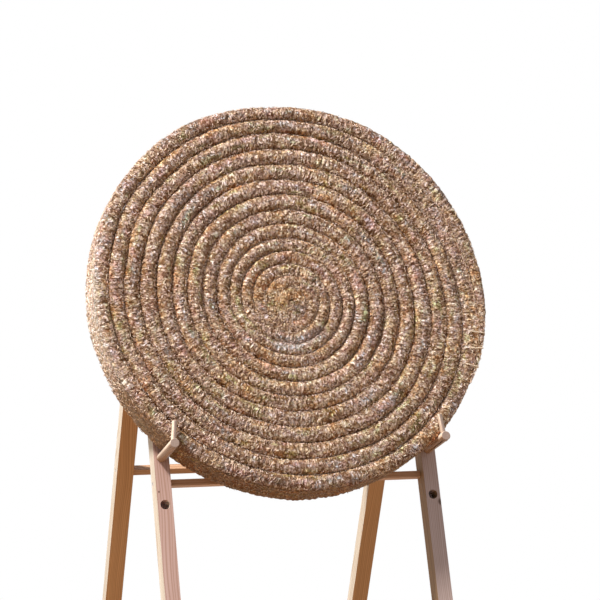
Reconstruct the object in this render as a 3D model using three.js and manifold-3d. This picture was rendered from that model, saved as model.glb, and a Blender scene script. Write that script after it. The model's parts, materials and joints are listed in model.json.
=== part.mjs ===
// Archery target boss: one long straw rope wound into a thick round coil, leaning on a folding
// timber stand. The coil rests on two dowel pegs, and a thin dowel stop on each peg keeps it there.
// Millimetres, +Z is up. The archer stands at -Y and looks along +Y, so +X is the archer's right.
import * as THREE from "three";
import { mergeVertices } from "three/addons/utils/BufferGeometryUtils.js";
import Module from "manifold-3d";

const wasm = await Module();
wasm.setup();

// Straw coil
const bossDiameter = 800;
const bossThickness = 92;
const faceCentreHeight = 1300; // middle of the straw face above the ground
const ropeSpacing = 30; // from one turn to the next
const ropeGap = 0.8; // open space between one turn and the next
const crownHeight = 9; // how far the rope bulges out of its pressed flanks, front and back
const eyeRight = -15; // the coil's eye, sideways from the middle of the boss
const eyeUp = -22; // the same, upwards
const eyeRadius = 1.5; // opening left at the eye
const innerEndWidth = 8; // width of the rope's inner end
const stepsPerTurn = 24;
const fullWidthAngle = 30; // degrees from +X where the tail has grown to the rope's full width
const tailSteps = 4; // steps over which the tail tapers away on the rim
const jogShare = 0.22; // share of a turn in which the outer turns step inwards
const evenTurn = 7; // from this turn inwards the coil is evenly wound

// Stitches that hold the tail on the rim
const stitchDiameter = 3;
const stitchAngles = [-23.8, -17.7, -13]; // degrees from +X
const stitchSides = 6;

// Timber stand
const frontLean = 19.8; // degrees, top away from the archer
const rearLean = 22.96; // degrees, top towards the archer
const legInset = 127.1; // centre lines of the front legs inside the coil's rim, on each side
const rearLegOffset = 4.45; // centre lines of the rear legs outside those of the front legs
const frontLegWidth = 30;
const frontLegDepth = 37;
const rearLegWidth = 35;
const rearLegDepth = 30;
const frontTop = 190; // top of the front legs above the coil's middle, along the legs
const hingeRise = 20; // hinge axis above the coil's middle, along the legs
const railHeight = 12.5;
const railDepth = 20;
const frontRailDrop = 39.5; // top edge of the lower front rail below the pegs' axes
const frontTopRailDrop = 18; // upper front rail below the top of the legs
const rearRailDrop = 384.5; // top edge of the lower rear rail below the hinge axis
const rearTopRailDrop = 52; // the same for the upper rear rail
const rearRailSetback = 4; // rear rails behind the front faces of their legs

// Pegs and stops
const pegDiameter = 18;
const pegHoleDepth = 30;
const pegPitch = 92; // from the peg's hole down to the spare hole
const leftStopGap = 6.7; // between the coil's face and the stop
const rightStopGap = 0.9;
const leftPegEnd = 12.5; // from the stop's axis to the end of its peg
const rightPegEnd = 11;
const leftStopTurn = 8; // degrees, the stop leans inwards
const rightStopTurn = -6;
const stopDiameter = 10;
const stopHeight = 37; // above the peg

// Hinges
const hingeLength = 25;
const leafDrop = 38;
const leafThickness = 1.8;
const knuckleRadius = 4;
const knuckleGap = 0.5;
const pinRadius = 1.8;
const pinHeadRadius = 3;
const pinHeadThickness = 1;
const leafScrewShares = [0.38, 0.78];

// Wood screws: the long ones go through a leg into a rail's end
const railScrew = { radius: 2, headRadius: 4, headHeight: 2.6, length: 52, point: 6 };
const leafScrew = { radius: 1.4, headRadius: 2.8, headHeight: 1.5, length: 18, point: 4 };

// Fits
const seat = 0.3; // between pieces that touch
const overrun = 5; // cutters run past the face they open

const bossRadius = bossDiameter / 2;
const halfFront = bossRadius - legInset;
const halfRear = halfFront + rearLegOffset;
const hingeX = (halfFront + halfRear) / 2; // each hinge bridges the lines of its two legs
const lean = THREE.MathUtils.degToRad(frontLean);
const rearTilt = THREE.MathUtils.degToRad(rearLean);
const openAngle = lean + rearTilt;
const halfStep = Math.PI / stepsPerTurn;
const middleHeight = faceCentreHeight - (seat + bossThickness) * Math.sin(lean);

const materials = {
  straw: { color: 0x9c7a58, roughness: 0.95, metalness: 0 },
  twine: { color: 0xe3cdb4, roughness: 0.8, metalness: 0 },
  pine: { color: 0xc79a6b, roughness: 0.7, metalness: 0 },
  dowel: { color: 0xe0bd92, roughness: 0.65, metalness: 0 },
  steel: { color: 0x8d9196, roughness: 0.4, metalness: 0.9 },
};

function piece(name, geometry, material) {
  const mesh = new THREE.Mesh(geometry, new THREE.MeshStandardMaterial(materials[material]));
  mesh.name = name;
  return mesh;
}

function at(object, x, y, z) {
  object.position.set(x, y, z);
  return object;
}

// Solids for cutting and joining
function toSolid(geometry) {
  const bare = geometry.index ? geometry.clone() : geometry;
  bare.deleteAttribute("normal");
  bare.deleteAttribute("uv");
  const merged = mergeVertices(bare);
  const vertProperties = new Float32Array(merged.attributes.position.array);
  const triVerts = new Uint32Array(merged.index.array);
  return new wasm.Manifold(new wasm.Mesh({ numProp: 3, vertProperties, triVerts }));
}

function toGeometry(solid) {
  const mesh = solid.getMesh();
  const geometry = new THREE.BufferGeometry();
  geometry.setAttribute("position", new THREE.BufferAttribute(new Float32Array(mesh.vertProperties), 3));
  geometry.setIndex(new THREE.BufferAttribute(new Uint32Array(mesh.triVerts), 1));
  geometry.computeVertexNormals();
  return geometry;
}

function cut(geometry, cutters) {
  let solid = toSolid(geometry);
  for (const cutter of cutters) solid = solid.subtract(toSolid(cutter));
  return toGeometry(solid);
}

function joined(geometries) {
  let solid = toSolid(geometries[0]);
  for (const geometry of geometries.slice(1)) solid = solid.add(toSolid(geometry));
  return toGeometry(solid);
}

// A block from its lowest corner to its highest one
function block(low, high) {
  const size = high.map((value, axis) => value - low[axis]);
  const middle = high.map((value, axis) => (value + low[axis]) / 2);
  return new THREE.BoxGeometry(...size).translate(...middle);
}

// An outline of [y, z] points, drawn out along X over a width centred on zero
function prism(outline, width) {
  const shape = new THREE.Shape(outline.map(([y, z]) => new THREE.Vector2(y, z)));
  const geometry = new THREE.ExtrudeGeometry(shape, { depth: width, bevelEnabled: false });
  geometry.translate(0, 0, -width / 2);
  const axes = new THREE.Matrix4().makeBasis(
    new THREE.Vector3(0, 1, 0), new THREE.Vector3(0, 0, 1), new THREE.Vector3(1, 0, 0));
  return geometry.applyMatrix4(axes);
}

// A round rod along +Y from y = low to y = high
function rodY(radius, low, high, sides) {
  const rod = new THREE.CylinderGeometry(radius, radius, high - low, sides);
  return rod.rotateY(Math.PI / sides).translate(0, (low + high) / 2, 0);
}

// A screw along -Y, its head's face at y = 0. With a clearance it is the hole for that screw.
function screwShape(size, clearance) {
  const shank = size.radius + clearance;
  const head = size.headRadius + clearance;
  const top = clearance > 0 ? overrun : 0;
  const end = -size.length - clearance;
  const profile = [[0, end], [shank, end + size.point], [shank, -size.headHeight], [head, 0]];
  if (top > 0) profile.push([head, top]);
  profile.push([0, top]);
  const points = profile.map(([x, y]) => new THREE.Vector2(x, y));
  return new THREE.LatheGeometry(points, 10);
}

// Screws point along +Y, -Y, +X or -X from their place
function aimed(geometry, way) {
  if (way === "+y") return geometry.rotateZ(Math.PI);
  if (way === "+x") return geometry.rotateZ(Math.PI / 2);
  if (way === "-x") return geometry.rotateZ(-Math.PI / 2);
  return geometry;
}

// How many spacings the boundary between two turns has moved in from the rim. The outer turns run
// as circles and step in over the tail's sector, the inner ones wind in steadily.
function spacingsIn(turn) {
  if (turn <= 0) return 0;
  const whole = Math.floor(turn);
  const stepped = whole + THREE.MathUtils.smoothstep(turn - whole, 1 - jogShare, 1);
  const evenness = THREE.MathUtils.clamp((turn - 1) / (evenTurn - 1), 0, 1);
  return THREE.MathUtils.lerp(stepped, turn, evenness);
}

function boundaryRadius(turn) {
  return bossRadius - ropeSpacing * spacingsIn(turn);
}

// A place on the coil: the rim is round the boss's middle, the inmost turn round the eye. The
// flats between the steps lie at the true radius.
function coilPoint(radius, angle, outward) {
  const drift = 1 - radius / bossRadius;
  const reach = radius / Math.cos(halfStep);
  const x = eyeRight * drift + reach * Math.cos(angle);
  const z = eyeUp * drift + reach * Math.sin(angle);
  return new THREE.Vector3(x, -outward, z);
}

// Six points of the rope's section at one step: outer, middle and inner, front then back
function ropeRing(step) {
  const turn = step / stepsPerTurn;
  const angle = THREE.MathUtils.degToRad(fullWidthAngle) + turn * 2 * Math.PI;
  const outer = boundaryRadius(turn) - ropeGap / 2;
  const inner = Math.max(boundaryRadius(turn + 1) + ropeGap / 2, eyeRadius);
  const middle = (outer + inner) / 2;
  const crown = crownHeight * Math.min((outer - inner) / (ropeSpacing - ropeGap), 1);
  const back = seat;
  const front = seat + bossThickness;
  return [
    coilPoint(outer, angle, front - crown),
    coilPoint(middle, angle, front),
    coilPoint(inner, angle, front - crown),
    coilPoint(inner, angle, back + crown),
    coilPoint(middle, angle, back),
    coilPoint(outer, angle, back + crown),
  ];
}

function ropeRings() {
  const rings = [];
  for (let step = -tailSteps; ; step += 1) {
    const width = boundaryRadius(step / stepsPerTurn) - ropeGap / 2 - eyeRadius;
    if (width < innerEndWidth) return rings;
    rings.push(ropeRing(step));
  }
}

// A closed body through a list of rings that have equally many points
function skinned(rings) {
  const sides = rings[0].length;
  const positions = rings.flat().flatMap((point) => point.toArray());
  const index = [];
  for (let ring = 0; ring + 1 < rings.length; ring += 1) {
    for (let side = 0; side < sides; side += 1) {
      const a = ring * sides + side;
      const b = ring * sides + ((side + 1) % sides);
      index.push(a, a + sides, b + sides, a, b + sides, b);
    }
  }
  const last = (rings.length - 1) * sides;
  for (let side = 1; side + 1 < sides; side += 1) {
    index.push(0, side, side + 1, last, last + side + 1, last + side);
  }
  const geometry = new THREE.BufferGeometry();
  geometry.setAttribute("position", new THREE.Float32BufferAttribute(positions, 3));
  geometry.setIndex(index);
  geometry.computeVertexNormals();
  return geometry;
}

// The least distance between one turn's inner flank and the next turn's outer flank
function leastRopeGap(rings) {
  const flank = new THREE.Line3();
  const nearest = new THREE.Vector3();
  let least = Infinity;
  for (let ring = 0; ring + 1 < rings.length; ring += 1) {
    flank.set(rings[ring][2], rings[ring + 1][2]);
    for (let other = ring + stepsPerTurn - 2; other <= ring + stepsPerTurn + 2; other += 1) {
      if (!rings[other]) continue;
      flank.closestPointToPoint(rings[other][0], true, nearest);
      least = Math.min(least, nearest.distanceTo(rings[other][0]));
    }
  }
  return least;
}

// The highest place under the coil, on a leg's centre line, where a peg of this radius just fits
function pegRise(rings, x, radius) {
  const flank = new THREE.Line3();
  const nearest = new THREE.Vector3();
  const room = (z) => {
    let least = Infinity;
    for (let ring = 0; ring < stepsPerTurn; ring += 1) {
      flank.set(rings[ring][0].clone().setY(0), rings[ring + 1][0].clone().setY(0));
      const centre = new THREE.Vector3(x, 0, z);
      flank.closestPointToPoint(centre, true, nearest);
      least = Math.min(least, nearest.distanceTo(centre));
    }
    return least - radius;
  };
  let low = -bossRadius - radius;
  let high = -Math.sqrt(bossRadius * bossRadius - x * x);
  for (let round = 0; round < 40; round += 1) {
    const middle = (low + high) / 2;
    if (room(middle) > seat) low = middle;
    else high = middle;
  }
  return low;
}

// The rope's section between two steps, at an angle in degrees from +X, on the rim
function sectionAt(rings, degrees) {
  const stepAngle = 360 / stepsPerTurn;
  const place = (degrees - fullWidthAngle) / stepAngle + tailSteps;
  const ring = Math.floor(place);
  return rings[ring].map((point, side) => point.clone().lerp(rings[ring + 1][side], place - ring));
}

// A cord from the second turn's crown in front, over the tail and round the rim, to its crown behind
function stitch(rings, degrees) {
  const tail = sectionAt(rings, degrees);
  const next = sectionAt(rings, degrees + 360);
  const order = [next[1], tail[1], tail[0], tail[5], tail[4], next[4]];
  const radius = stitchDiameter / 2;
  const outwards = order[2].clone().sub(order[0]).setY(0).normalize();
  const sideways = new THREE.Vector3(-outwards.z, 0, outwards.x);
  const normals = [];
  for (let side = 0; side + 1 < order.length; side += 1) {
    const along = order[side + 1].clone().sub(order[side]);
    along.addScaledVector(sideways, -along.dot(sideways)).normalize();
    normals.push(new THREE.Vector3().crossVectors(along, sideways));
  }
  const path = order.map((point, side) => {
    const before = normals[Math.max(side - 1, 0)];
    const after = normals[Math.min(side, normals.length - 1)];
    const bisector = before.clone().add(after).normalize();
    return { place: point, bisector, reach: 1 / bisector.dot(after) };
  });
  const cordRings = path.map(({ place, bisector, reach }, side) => {
    const centre = place.clone().addScaledVector(bisector, (radius + seat) * reach);
    const ring = [];
    for (let corner = 0; corner < stitchSides; corner += 1) {
      const angle = (2 * Math.PI * corner) / stitchSides;
      const point = centre.clone().addScaledVector(sideways, radius * Math.sin(angle));
      ring.push(point.addScaledVector(bisector, radius * Math.cos(angle) * reach));
    }
    return ring;
  });
  return skinned(cordRings);
}

const pegClearance = pegDiameter / 2 + seat;
const rings = ropeRings();
const pegHeight = pegRise(rings, -halfFront, pegDiameter / 2);
const spareHeight = pegHeight - pegPitch;
const axisOffset = knuckleRadius + seat; // hinge axis to the face of either leg
const leafHeadY = knuckleRadius - leafThickness + seat; // hinge axis to the faces of the leaf's screw heads
const frontRailHeight = pegHeight - frontRailDrop - railHeight / 2;
const frontTopRailHeight = frontTop - frontTopRailDrop - railHeight / 2;
const rearRailHeight = -rearRailDrop - railHeight / 2;
const rearTopRailHeight = -rearTopRailDrop - railHeight / 2;
const axisDepth = frontLegDepth + axisOffset; // hinge axis behind the front faces of the front legs
const hingeY = hingeRise * Math.sin(lean) + axisDepth * Math.cos(lean);
const hingeZ = middleHeight + hingeRise * Math.cos(lean) - axisDepth * Math.sin(lean);
const frontRailY = frontLegDepth - railDepth / 2; // flush with the backs of the legs
const rearRailY = axisOffset + rearRailSetback + railDepth / 2;

// Height of the ground at a depth in the front frame and in the rear frame
const frontGround = (y) => (y * Math.sin(lean) - middleHeight) / Math.cos(lean);
const rearGround = (y) => -(hingeZ + y * Math.sin(rearTilt)) / Math.cos(rearTilt);

// The rear legs' tops are bevelled, and bear on the backs of the front legs when the stand is open
const rearBevel = (y) => (y * Math.cos(openAngle) + knuckleRadius) / Math.sin(openAngle);

function railScrewHoles(width, heights, y, side) {
  return heights.map((height) => {
    const way = side < 0 ? "+x" : "-x";
    const x = side * (width / 2 - seat);
    return aimed(screwShape(railScrew, seat), way).translate(x, y, height);
  });
}

function frontLeg(side) {
  const back = frontLegDepth;
  const outline = [[0, frontGround(0)], [back, frontGround(back)], [back, frontTop], [0, frontTop]];
  const holes = [pegHeight, spareHeight].map((height) =>
    rodY(pegClearance, -overrun, pegHoleDepth, 24).translate(0, 0, height));
  const leafHoles = leafScrewShares.map((share) =>
    aimed(screwShape(leafScrew, seat), "-y")
      .translate(side * (hingeX - halfFront), back + leafThickness, hingeRise - leafDrop * share));
  const railHoles = railScrewHoles(frontLegWidth, [frontRailHeight, frontTopRailHeight], frontRailY, side);
  return cut(prism(outline, frontLegWidth), [...holes, ...leafHoles, ...railHoles]);
}

function rearLeg(side) {
  const front = axisOffset;
  const back = axisOffset + rearLegDepth;
  const outline = [
    [front, rearGround(front)], [back, rearGround(back)], [back, rearBevel(back)], [front, rearBevel(front)],
  ];
  const leafHoles = leafScrewShares.map((share) =>
    aimed(screwShape(leafScrew, seat), "+y")
      .translate(side * (hingeX - halfRear), leafHeadY, -leafDrop * share));
  const railHoles = railScrewHoles(rearLegWidth, [rearRailHeight, rearTopRailHeight], rearRailY, side);
  return cut(prism(outline, rearLegWidth), [...leafHoles, ...railHoles]);
}

// A rail between two legs, with a pilot hole in each end
function rail(halfSpacing, legWidth) {
  const half = [halfSpacing - legWidth / 2 - seat, railDepth / 2, railHeight / 2];
  const reach = halfSpacing + legWidth / 2 - seat;
  return cut(block(half.map((value) => -value), half), [
    aimed(screwShape(railScrew, seat), "+x").translate(-reach, 0, 0),
    aimed(screwShape(railScrew, seat), "-x").translate(reach, 0, 0),
  ]);
}

// A hinge leaf: its axis is X, its wood is at +Y, and its plate hangs down from the axis
function hingeLeaf(ownKnuckles) {
  const knuckle = (hingeLength - 2 * knuckleGap) / 3;
  const starts = [0, 1, 2].map((place) => -hingeLength / 2 + place * (knuckle + knuckleGap));
  const plate = block(
    [-hingeLength / 2, knuckleRadius - leafThickness, -leafDrop], [hingeLength / 2, knuckleRadius, 0]);
  const barrels = ownKnuckles.map((place) =>
    new THREE.CylinderGeometry(knuckleRadius, knuckleRadius, knuckle, 16)
      .rotateZ(Math.PI / 2).translate(starts[place] + knuckle / 2, 0, 0));
  const recesses = [0, 1, 2].filter((place) => !ownKnuckles.includes(place)).map((place) => {
    const low = starts[place] - knuckleGap - (place === 0 ? overrun : 0);
    const high = starts[place] + knuckle + knuckleGap + (place === 2 ? overrun : 0);
    return block([low, -overrun, -knuckleRadius - knuckleGap], [high, knuckleRadius + overrun, overrun]);
  });
  const bore = new THREE.CylinderGeometry(pinRadius + seat, pinRadius + seat, hingeLength + overrun, 16)
    .rotateZ(Math.PI / 2);
  const screwHoles = leafScrewShares.map((share) =>
    aimed(screwShape(leafScrew, seat), "+y").translate(0, leafHeadY, -leafDrop * share));
  const body = joined([cut(plate, recesses), ...barrels]);
  return cut(body, [bore, ...screwHoles]);
}

// A hinge pin along X with a riveted head at each end
function hingePin() {
  const half = hingeLength / 2 + seat;
  const profile = [
    [0, -half - pinHeadThickness], [pinHeadRadius, -half - pinHeadThickness], [pinHeadRadius, -half],
    [pinRadius, -half], [pinRadius, half], [pinHeadRadius, half],
    [pinHeadRadius, half + pinHeadThickness], [0, half + pinHeadThickness],
  ];
  const points = profile.map(([x, y]) => new THREE.Vector2(x, y));
  return new THREE.LatheGeometry(points, 12).rotateZ(Math.PI / 2);
}

// A peg along -Y from the bottom of its hole, drilled across near its end for the stop
function peg(stopY, end) {
  const hole = new THREE.CylinderGeometry(
    stopDiameter / 2 + seat, stopDiameter / 2 + seat, pegDiameter + overrun, 16);
  hole.rotateX(Math.PI / 2).translate(0, stopY, 0);
  return cut(rodY(pegDiameter / 2, stopY - end, pegHoleDepth - seat, 24), [hole]);
}

// The stop stands in front of the coil's face, and the peg ends a little in front of the stop
function pegAndStop(name, gap, end, turn) {
  const group = new THREE.Group();
  const stopY = -(seat + bossThickness + gap + stopDiameter / 2);
  group.add(piece(`${name}_peg`, peg(stopY, end), "dowel"));
  const height = pegDiameter + stopHeight;
  const stop = new THREE.CylinderGeometry(stopDiameter / 2, stopDiameter / 2, height, 16);
  stop.rotateX(Math.PI / 2).translate(0, stopY, height / 2 - pegDiameter / 2);
  group.add(piece(`${name}_stop`, stop, "dowel"));
  group.rotation.y = THREE.MathUtils.degToRad(turn);
  return group;
}

// The straw coil and its stitches
const coil = new THREE.Group();
coil.add(piece("straw_rope", skinned(rings), "straw"));
stitchAngles.forEach((degrees, number) => {
  coil.add(piece(`tail_stitch_${number + 1}`, stitch(rings, degrees), "twine"));
});
console.log(`straw rope: least gap between turns ${leastRopeGap(rings).toFixed(3)} mm`);

// The front frame leans back from the archer, its legs' front faces at y = 0
const frontFrame = new THREE.Group();
frontFrame.add(coil);
const rearFrame = new THREE.Group();

for (const [name, side] of [["left", -1], ["right", 1]]) {
  const frontX = side * halfFront;
  const rearX = side * halfRear;
  const leafX = side * hingeX;
  const isLeft = side < 0;
  const way = isLeft ? "+x" : "-x";

  frontFrame.add(at(piece(`front_leg_${name}`, frontLeg(side), "pine"), frontX, 0, 0));
  const gap = isLeft ? leftStopGap : rightStopGap;
  const end = isLeft ? leftPegEnd : rightPegEnd;
  const turn = isLeft ? leftStopTurn : rightStopTurn;
  frontFrame.add(at(pegAndStop(name, gap, end, turn), frontX, 0, pegHeight));

  const frontLeaf = new THREE.Group();
  frontLeaf.add(piece(`hinge_${name}_front_leaf`, hingeLeaf([0, 2]), "steel"));
  frontLeaf.rotation.z = Math.PI;
  frontFrame.add(at(frontLeaf, leafX, axisDepth, hingeRise));
  frontFrame.add(at(piece(`hinge_${name}_pin`, hingePin(), "steel"), leafX, axisDepth, hingeRise));

  rearFrame.add(at(piece(`rear_leg_${name}`, rearLeg(side), "pine"), rearX, 0, 0));
  rearFrame.add(at(piece(`hinge_${name}_rear_leaf`, hingeLeaf([1]), "steel"), leafX, 0, 0));

  leafScrewShares.forEach((share, number) => {
    const label = `hinge_${name}_front_screw_${number + 1}`;
    const screw = piece(label, aimed(screwShape(leafScrew, 0), "-y"), "steel");
    frontFrame.add(at(screw, leafX, frontLegDepth + leafThickness, hingeRise - leafDrop * share));
    const rearLabel = `hinge_${name}_rear_screw_${number + 1}`;
    const rearScrew = piece(rearLabel, aimed(screwShape(leafScrew, 0), "+y"), "steel");
    rearFrame.add(at(rearScrew, leafX, leafHeadY, -leafDrop * share));
  });

  const frontFace = frontX + side * (frontLegWidth / 2 - seat);
  const rearFace = rearX + side * (rearLegWidth / 2 - seat);
  for (const [label, height] of [["lower", frontRailHeight], ["upper", frontTopRailHeight]]) {
    const screw = piece(`front_${label}_screw_${name}`, aimed(screwShape(railScrew, 0), way), "steel");
    frontFrame.add(at(screw, frontFace, frontRailY, height));
  }
  for (const [label, height] of [["lower", rearRailHeight], ["upper", rearTopRailHeight]]) {
    const screw = piece(`rear_${label}_screw_${name}`, aimed(screwShape(railScrew, 0), way), "steel");
    rearFrame.add(at(screw, rearFace, rearRailY, height));
  }
}

for (const [label, height] of [["lower", frontRailHeight], ["upper", frontTopRailHeight]]) {
  const strip = piece(`front_${label}_rail`, rail(halfFront, frontLegWidth), "pine");
  frontFrame.add(at(strip, 0, frontRailY, height));
}
for (const [label, height] of [["lower", rearRailHeight], ["upper", rearTopRailHeight]]) {
  const strip = piece(`rear_${label}_rail`, rail(halfRear, rearLegWidth), "pine");
  rearFrame.add(at(strip, 0, rearRailY, height));
}

// The origin is on the ground, in the middle of the stand's footprint
const frontReach = middleHeight * Math.tan(lean);
const rearBack = axisOffset + rearLegDepth;
const rearReach = hingeY + rearBack * Math.cos(rearTilt) - rearGround(rearBack) * Math.sin(rearTilt);
const standMiddle = (rearReach - frontReach) / 2;

frontFrame.rotation.x = -lean;
at(frontFrame, 0, -standMiddle, middleHeight);
rearFrame.rotation.x = rearTilt;
at(rearFrame, 0, hingeY - standMiddle, hingeZ);

const group = new THREE.Group();
group.add(frontFrame, rearFrame);
export default group;
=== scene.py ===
# Archery target boss: a coiled straw rope on its folding timber stand.
import json
import math

import bpy
import numpy as np
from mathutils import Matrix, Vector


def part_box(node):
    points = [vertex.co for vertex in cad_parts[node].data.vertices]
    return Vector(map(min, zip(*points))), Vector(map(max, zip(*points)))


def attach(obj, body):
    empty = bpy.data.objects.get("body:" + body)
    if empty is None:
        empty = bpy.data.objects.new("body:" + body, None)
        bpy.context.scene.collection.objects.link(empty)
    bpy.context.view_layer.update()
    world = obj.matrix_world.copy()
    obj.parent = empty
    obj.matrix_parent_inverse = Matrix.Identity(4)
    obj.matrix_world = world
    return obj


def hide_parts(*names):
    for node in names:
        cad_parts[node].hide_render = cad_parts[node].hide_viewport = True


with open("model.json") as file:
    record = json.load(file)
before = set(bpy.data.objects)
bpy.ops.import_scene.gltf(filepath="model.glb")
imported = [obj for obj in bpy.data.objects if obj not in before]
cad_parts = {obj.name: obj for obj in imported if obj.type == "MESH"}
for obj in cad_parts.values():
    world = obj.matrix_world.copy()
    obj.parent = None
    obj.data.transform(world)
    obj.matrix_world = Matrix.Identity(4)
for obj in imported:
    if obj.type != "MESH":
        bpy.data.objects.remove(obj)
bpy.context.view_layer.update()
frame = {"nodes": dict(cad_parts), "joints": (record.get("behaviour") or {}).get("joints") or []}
print("frame loaded:", len(frame["nodes"]), "nodes")

# The stand's axes: u runs to the archer's right, v up along the front legs, w out of the straw face
joints = {joint["name"]: joint for joint in frame["joints"]}
uAxis = np.array([1.0, 0.0, 0.0])
vAxis = np.array(joints["boss_lift"]["axis"], float)
wAxis = np.cross(uAxis, vAxis)
ropeMesh = frame["nodes"]["straw_rope"].data
ropePoints = np.empty(len(ropeMesh.vertices) * 3, np.float32)
ropeMesh.vertices.foreach_get("co", ropePoints)
ropePoints = ropePoints.reshape(-1, 3).astype(float)
heights = ropePoints @ vAxis
bossMiddle = vAxis * (heights.max() + heights.min()) / 2 + wAxis * (ropePoints @ wAxis).min()  # at the back
frontLean = math.atan2(vAxis[1], vAxis[2])
rearLean = math.radians(-joints["rear_fold"]["range_deg"][0]) - frontLean
hingePoint = np.array(joints["rear_fold"]["pos_m"], float)


# Vectors from their parts along the axes
def alongAxes(u, v, w):
    return u[..., None] * uAxis + v[..., None] * vAxis + w[..., None] * wAxis


# How far points lie along u and v from the boss's middle
def planePlace(points):
    flat = (points - bossMiddle) @ np.stack([uAxis, vAxis], 1)
    return flat[..., 0], flat[..., 1]


# Camera, at the photograph's place: about 4.3 m away, 17 degrees round to the left
camera = dict(place=(-1.2097, -4.1627, 1.4255), tilt=88.02, turn=-17.0, lens=127.5)
cameraData = bpy.data.cameras.new("camera")
cameraData.lens = camera["lens"]
cameraData.clip_end = 100
cameraObject = bpy.data.objects.new("camera", cameraData)
cameraObject.location = camera["place"]
cameraObject.rotation_euler = (math.radians(camera["tilt"]), 0, math.radians(camera["turn"]))
bpy.context.scene.collection.objects.link(cameraObject)
bpy.context.scene.camera = cameraObject


# Smooth noise from -1 to 1: a hash gives each corner of a cubic lattice its value, and smoothstep blends them
def latticeNoise(points, cell, seed):
    scaled = np.asarray(points, float) / cell
    base = np.floor(scaled).astype(np.int64)
    part = scaled - base
    part = part * part * (3 - 2 * part)
    total = np.zeros(scaled.shape[:-1])
    for corner in np.ndindex(2, 2, 2):
        key = base + np.array(corner)
        mixed = key[..., 0] * 374761393 + key[..., 1] * 668265263 + key[..., 2] * 1440670441
        mixed = (mixed + seed * 9176263) & 0xFFFFFFFF
        mixed = ((mixed ^ (mixed >> 13)) * 1274126177) & 0xFFFFFFFF
        value = ((mixed ^ (mixed >> 16)) & 0xFFFF) / 32767.5 - 1
        side = np.where(np.array(corner) == 1, part, 1 - part)
        total += value * side.prod(axis=-1)
    return total


# A mesh from points and groups of faces, with a value or vector for each point under each attribute's name
def makePiece(name, points, faceGroups, material, smooth=True, attributes=None):
    mesh = bpy.data.meshes.new(name)
    mesh.vertices.add(len(points))
    mesh.vertices.foreach_set("co", points.astype(np.float32).ravel())
    corners = np.concatenate([group.ravel() for group in faceGroups])
    sizes = np.concatenate([np.full(len(group), group.shape[1]) for group in faceGroups])
    mesh.loops.add(len(corners))
    mesh.loops.foreach_set("vertex_index", corners.astype(np.int32))
    mesh.polygons.add(len(sizes))
    mesh.polygons.foreach_set("loop_start", np.concatenate([[0], np.cumsum(sizes)[:-1]]).astype(np.int32))
    mesh.polygons.foreach_set("use_smooth", np.full(len(sizes), smooth))
    mesh.update(calc_edges=True)
    for label, values in (attributes or {}).items():
        kind = "FLOAT" if values.ndim == 1 else "FLOAT_VECTOR"
        field = "value" if values.ndim == 1 else "vector"
        layer = mesh.attributes.new(label, kind, "POINT")
        layer.data.foreach_set(field, values.astype(np.float32).ravel())
    mesh.materials.append(material)
    obj = bpy.data.objects.new(name, mesh)
    bpy.context.scene.collection.objects.link(obj)
    return obj


# Faces of a grid of points, rows by columns, closed round the columns and capped at both ends
def tubeFaces(rows, columns):
    row, column = np.meshgrid(np.arange(rows - 1), np.arange(columns), indexing="ij")
    after = (column + 1) % columns
    quads = np.stack([row * columns + column, row * columns + after,
                      (row + 1) * columns + after, (row + 1) * columns + column], -1).reshape(-1, 4)
    firstCap = np.arange(columns)[::-1][None]
    lastCap = (np.arange(columns) + (rows - 1) * columns)[None]
    return [quads, firstCap, lastCap]


# Node helpers: each adds a node or two to a material's tree and gives back what comes out
def newMaterial(name):
    material = bpy.data.materials.new(name)
    material.use_nodes = True
    tree = material.node_tree
    return material, tree, tree.nodes["Principled BSDF"]


def addNode(tree, kind, inputs=None, **settings):
    node = tree.nodes.new(kind)
    for key, value in settings.items():
        setattr(node, key, value)
    for key, value in (inputs or {}).items():
        if isinstance(value, bpy.types.NodeSocket):
            tree.links.new(value, node.inputs[key])
        else:
            node.inputs[key].default_value = value
    return node


def math2(tree, operation, first, second=0.5, clamp=False):
    node = addNode(tree, "ShaderNodeMath", {0: first, 1: second}, operation=operation, use_clamp=clamp)
    return node.outputs[0]


# A value plus a weight times another value's difference from its middle
def addSwing(tree, value, swing, weight, middle=0.5, clamp=False):
    swing = math2(tree, "MULTIPLY", math2(tree, "SUBTRACT", swing, middle), weight)
    return math2(tree, "ADD", value, swing, clamp)


def vectorMath(tree, operation, first, second=None, output=0):
    inputs = {0: first} if second is None else {0: first, 1: second}
    return addNode(tree, "ShaderNodeVectorMath", inputs, operation=operation).outputs[output]


def objectPlace(tree):
    return addNode(tree, "ShaderNodeTexCoord").outputs["Object"]


def attribute(tree, name, output="Fac"):
    return addNode(tree, "ShaderNodeAttribute", attribute_name=name).outputs[output]


def colourParts(tree, colour):
    return addNode(tree, "ShaderNodeSeparateColor", {"Color": colour}).outputs


def ramp(tree, value, stops):
    node = addNode(tree, "ShaderNodeValToRGB", {"Fac": value})
    elements = node.color_ramp.elements
    while len(elements) < len(stops):
        elements.new(0.5)
    for element, (place, colour) in zip(elements, stops):
        element.position = place
        element.color = (*colour, 1)
    return node.outputs["Color"]


def mixValue(tree, share, first, second):
    return addNode(tree, "ShaderNodeMix", {0: share, 2: first, 3: second}).outputs[0]


def mixColour(tree, factor, first, second, blend="MIX"):
    first, second = [(*value, 1) if isinstance(value, tuple) else value for value in (first, second)]
    inputs = {0: factor, 6: first, 7: second}
    return addNode(tree, "ShaderNodeMix", inputs, data_type="RGBA", blend_type=blend).outputs[2]


def tinted(tree, first, second):
    return mixColour(tree, 1.0, first, second, "MULTIPLY")


def scaled(tree, vector, x, y, z):
    return addNode(tree, "ShaderNodeMapping", {"Vector": vector, "Scale": (x, y, z)}).outputs["Vector"]


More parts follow.
